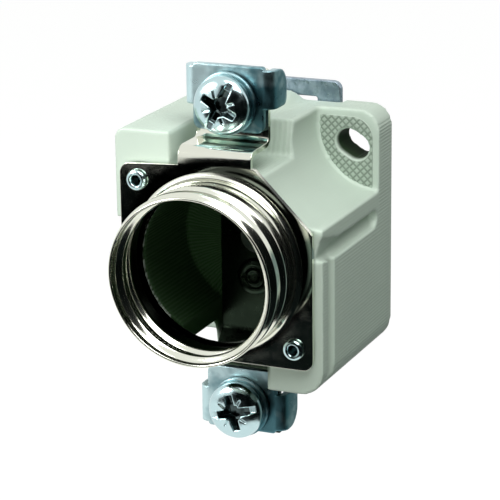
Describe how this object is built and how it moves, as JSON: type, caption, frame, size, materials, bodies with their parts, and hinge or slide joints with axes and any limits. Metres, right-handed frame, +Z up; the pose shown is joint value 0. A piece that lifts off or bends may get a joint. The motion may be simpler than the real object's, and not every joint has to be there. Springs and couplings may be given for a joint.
{
  "type": "fuse base",
  "caption": "Fuse base: a ceramic block with a threaded metal shell, a contact strip, screw terminals with saddle clamps and a sprung rail latch at the rear.",
  "frame": {"origin": "on the threaded shell's axis, in the plane of the ceramic body's rear face, which stands on the rail", "axes": "+X across the base, to the right seen from the front; +Y out of the rear face, towards the rail; +Z up, from the lower terminal to the upper terminal"},
  "size_m": [0.0354, 0.0448, 0.0627],
  "materials": {
    "ceramic": "matte pressed electrical porcelain, pale grey-green",
    "nickel": "bright nickel plate on drawn brass",
    "zinc": "bright zinc plate, slightly blue",
    "galvanised": "dull galvanised sheet steel"
  },
  "bodies": {
    "base": {"ceramic_body": "ceramic", "threaded_shell": "nickel", "contact_strip": "nickel", "flange_rivet_upper": "zinc", "flange_rivet_lower": "zinc", "rivet_washer_upper": "zinc", "rivet_washer_lower": "zinc", "contact_rivet": "nickel", "contact_rivet_washer": "zinc", "rail_plate": "galvanised", "guide_rivet_left": "zinc", "guide_rivet_right": "zinc", "plate_rivet_left": "zinc", "plate_rivet_right": "zinc", "latch_spring": "zinc"},
    "top_clamp_body": {"top_clamp": "zinc", "top_washer": "zinc"},
    "top_screw_body": {"top_screw": "zinc"},
    "bottom_clamp_body": {"bottom_clamp": "zinc", "bottom_washer": "zinc"},
    "bottom_screw_body": {"bottom_screw": "zinc"},
    "latch_body": {"rail_latch": "galvanised"}
  },
  "joints": [
    {"name": "top_clamp_slide", "type": "slide", "parent": "base", "child": "top_clamp_body", "axis": [0, -1, 0], "range_m": [0, 0.0032]},
    {"name": "top_screw_turn", "type": "hinge", "parent": "top_clamp_body", "child": "top_screw_body", "pos_m": [0, -0.0276, 0.0248], "axis": [0, -1, 0], "range_deg": [0, 1440.1]},
    {"name": "bottom_clamp_slide", "type": "slide", "parent": "base", "child": "bottom_clamp_body", "axis": [0, -1, 0], "range_m": [0, 0.0032]},
    {"name": "bottom_screw_turn", "type": "hinge", "parent": "bottom_clamp_body", "child": "bottom_screw_body", "pos_m": [0, -0.0239, -0.027], "axis": [0, -1, 0], "range_deg": [0, 1440.1]},
    {"name": "rail_latch_slide", "type": "slide", "parent": "base", "child": "latch_body", "axis": [0, 0, 1], "range_m": [0, 0.0032], "stiffness_N_per_m": 900, "springref_m": -0.003, "deforming": ["latch_spring"]}
  ],
  "couplings": [
    {"joint": "top_screw_turn", "follows": "top_clamp_slide", "rad_per_m": 7854},
    {"joint": "bottom_screw_turn", "follows": "bottom_clamp_slide", "rad_per_m": 7854}
  ]
}
